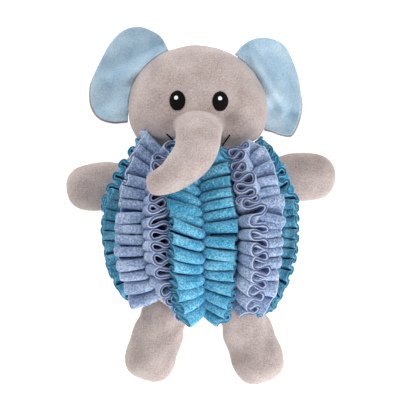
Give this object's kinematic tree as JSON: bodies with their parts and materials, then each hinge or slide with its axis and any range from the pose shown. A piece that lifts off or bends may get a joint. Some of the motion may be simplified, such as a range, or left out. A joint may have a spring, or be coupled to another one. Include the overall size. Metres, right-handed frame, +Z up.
{
  "type": "plush snuffle toy",
  "caption": "Stuffed plush elephant dog toy lying on its back: ball body covered with gathered fleece ruffles that hide treats, floppy ears, trunk, arms and legs.",
  "frame": {"origin": "on the flat of the back that the toy lies on, under the middle of the ball body", "axes": "+Y towards the top of the head, -Y towards the feet, +Z up out of the face and chest, +X to the right in the front view"},
  "size_m": [0.2326, 0.3115, 0.1547],
  "materials": {
    "taupe_plush": "short-pile plush",
    "blue_plush": "short-pile plush",
    "turquoise_fleece": "brushed fleece",
    "lilac_fleece": "brushed fleece",
    "black_thread": "satin stitch",
    "white_thread": "satin stitch",
    "fibre_stuffing": "loose fibre",
    "squeaker_vinyl": "matte"
  },
  "bodies": {
    "torso": {"body_cover": "taupe_plush", "body_filling": "fibre_stuffing", "squeaker_bulb": "squeaker_vinyl", "squeaker_reed": "squeaker_vinyl", "ruffle_front": "turquoise_fleece", "ruffle_left_front": "lilac_fleece", "ruffle_right_front": "lilac_fleece", "ruffle_left_side": "turquoise_fleece", "ruffle_right_side": "turquoise_fleece"},
    "head": {"head_cover": "taupe_plush", "head_filling": "fibre_stuffing", "eye_left": "black_thread", "eye_right": "black_thread", "eye_highlight_left": "white_thread", "eye_highlight_right": "white_thread", "mouth_left": "black_thread", "mouth_right": "black_thread"},
    "trunk": {"trunk_cover": "taupe_plush", "trunk_filling": "fibre_stuffing"},
    "ear_left": {"ear_left_front": "blue_plush", "ear_left_back": "taupe_plush"},
    "ear_right": {"ear_right_front": "blue_plush", "ear_right_back": "taupe_plush"},
    "arm_left": {"arm_left_cover": "taupe_plush", "arm_left_filling": "fibre_stuffing"},
    "arm_right": {"arm_right_cover": "taupe_plush", "arm_right_filling": "fibre_stuffing"},
    "leg_left": {"leg_left_cover": "taupe_plush", "leg_left_filling": "fibre_stuffing"},
    "leg_right": {"leg_right_cover": "taupe_plush", "leg_right_filling": "fibre_stuffing"}
  },
  "joints": [
    {"name": "head_tilt_back", "type": "hinge", "parent": "torso", "child": "head", "pos_m": [0, 0.0675, 0.02662], "axis": [-1, 0, 0], "range_deg": [0, 10], "stiffness_Nm_per_rad": 0.4, "springref_deg": -5.73},
    {"name": "trunk_lift", "type": "hinge", "parent": "head", "child": "trunk", "pos_m": [-0.00349, 0.10239, 0.10617], "axis": [-1, 0, 0], "range_deg": [0, 60]},
    {"name": "ear_left_fold", "type": "hinge", "parent": "head", "child": "ear_left", "pos_m": [-0.05806, 0.13213, 0.057], "axis": [0.5205, 0.8539, 0], "range_deg": [-10, 60], "stiffness_Nm_per_rad": 0.05},
    {"name": "ear_right_fold", "type": "hinge", "parent": "head", "child": "ear_right", "pos_m": [0.05154, 0.12437, 0.057], "axis": [0.3708, -0.9287, 0], "range_deg": [-10, 60], "stiffness_Nm_per_rad": 0.05},
    {"name": "arm_left_sweep", "type": "hinge", "parent": "torso", "child": "arm_left", "pos_m": [-0.06633, 0.03991, 0.032], "axis": [0, 0, 1], "range_deg": [-5, 18], "stiffness_Nm_per_rad": 0.05},
    {"name": "arm_right_sweep", "type": "hinge", "parent": "torso", "child": "arm_right", "pos_m": [0.06392, 0.0453, 0.032], "axis": [0, 0, 1], "range_deg": [-18, 5], "stiffness_Nm_per_rad": 0.05},
    {"name": "leg_left_lift", "type": "hinge", "parent": "torso", "child": "leg_left", "pos_m": [-0.03, -0.06471, 0.0402], "axis": [-1, 0, 0], "range_deg": [0, 22]},
    {"name": "leg_right_lift", "type": "hinge", "parent": "torso", "child": "leg_right", "pos_m": [0.03, -0.06471, 0.0402], "axis": [-1, 0, 0], "range_deg": [0, 22]}
  ]
}
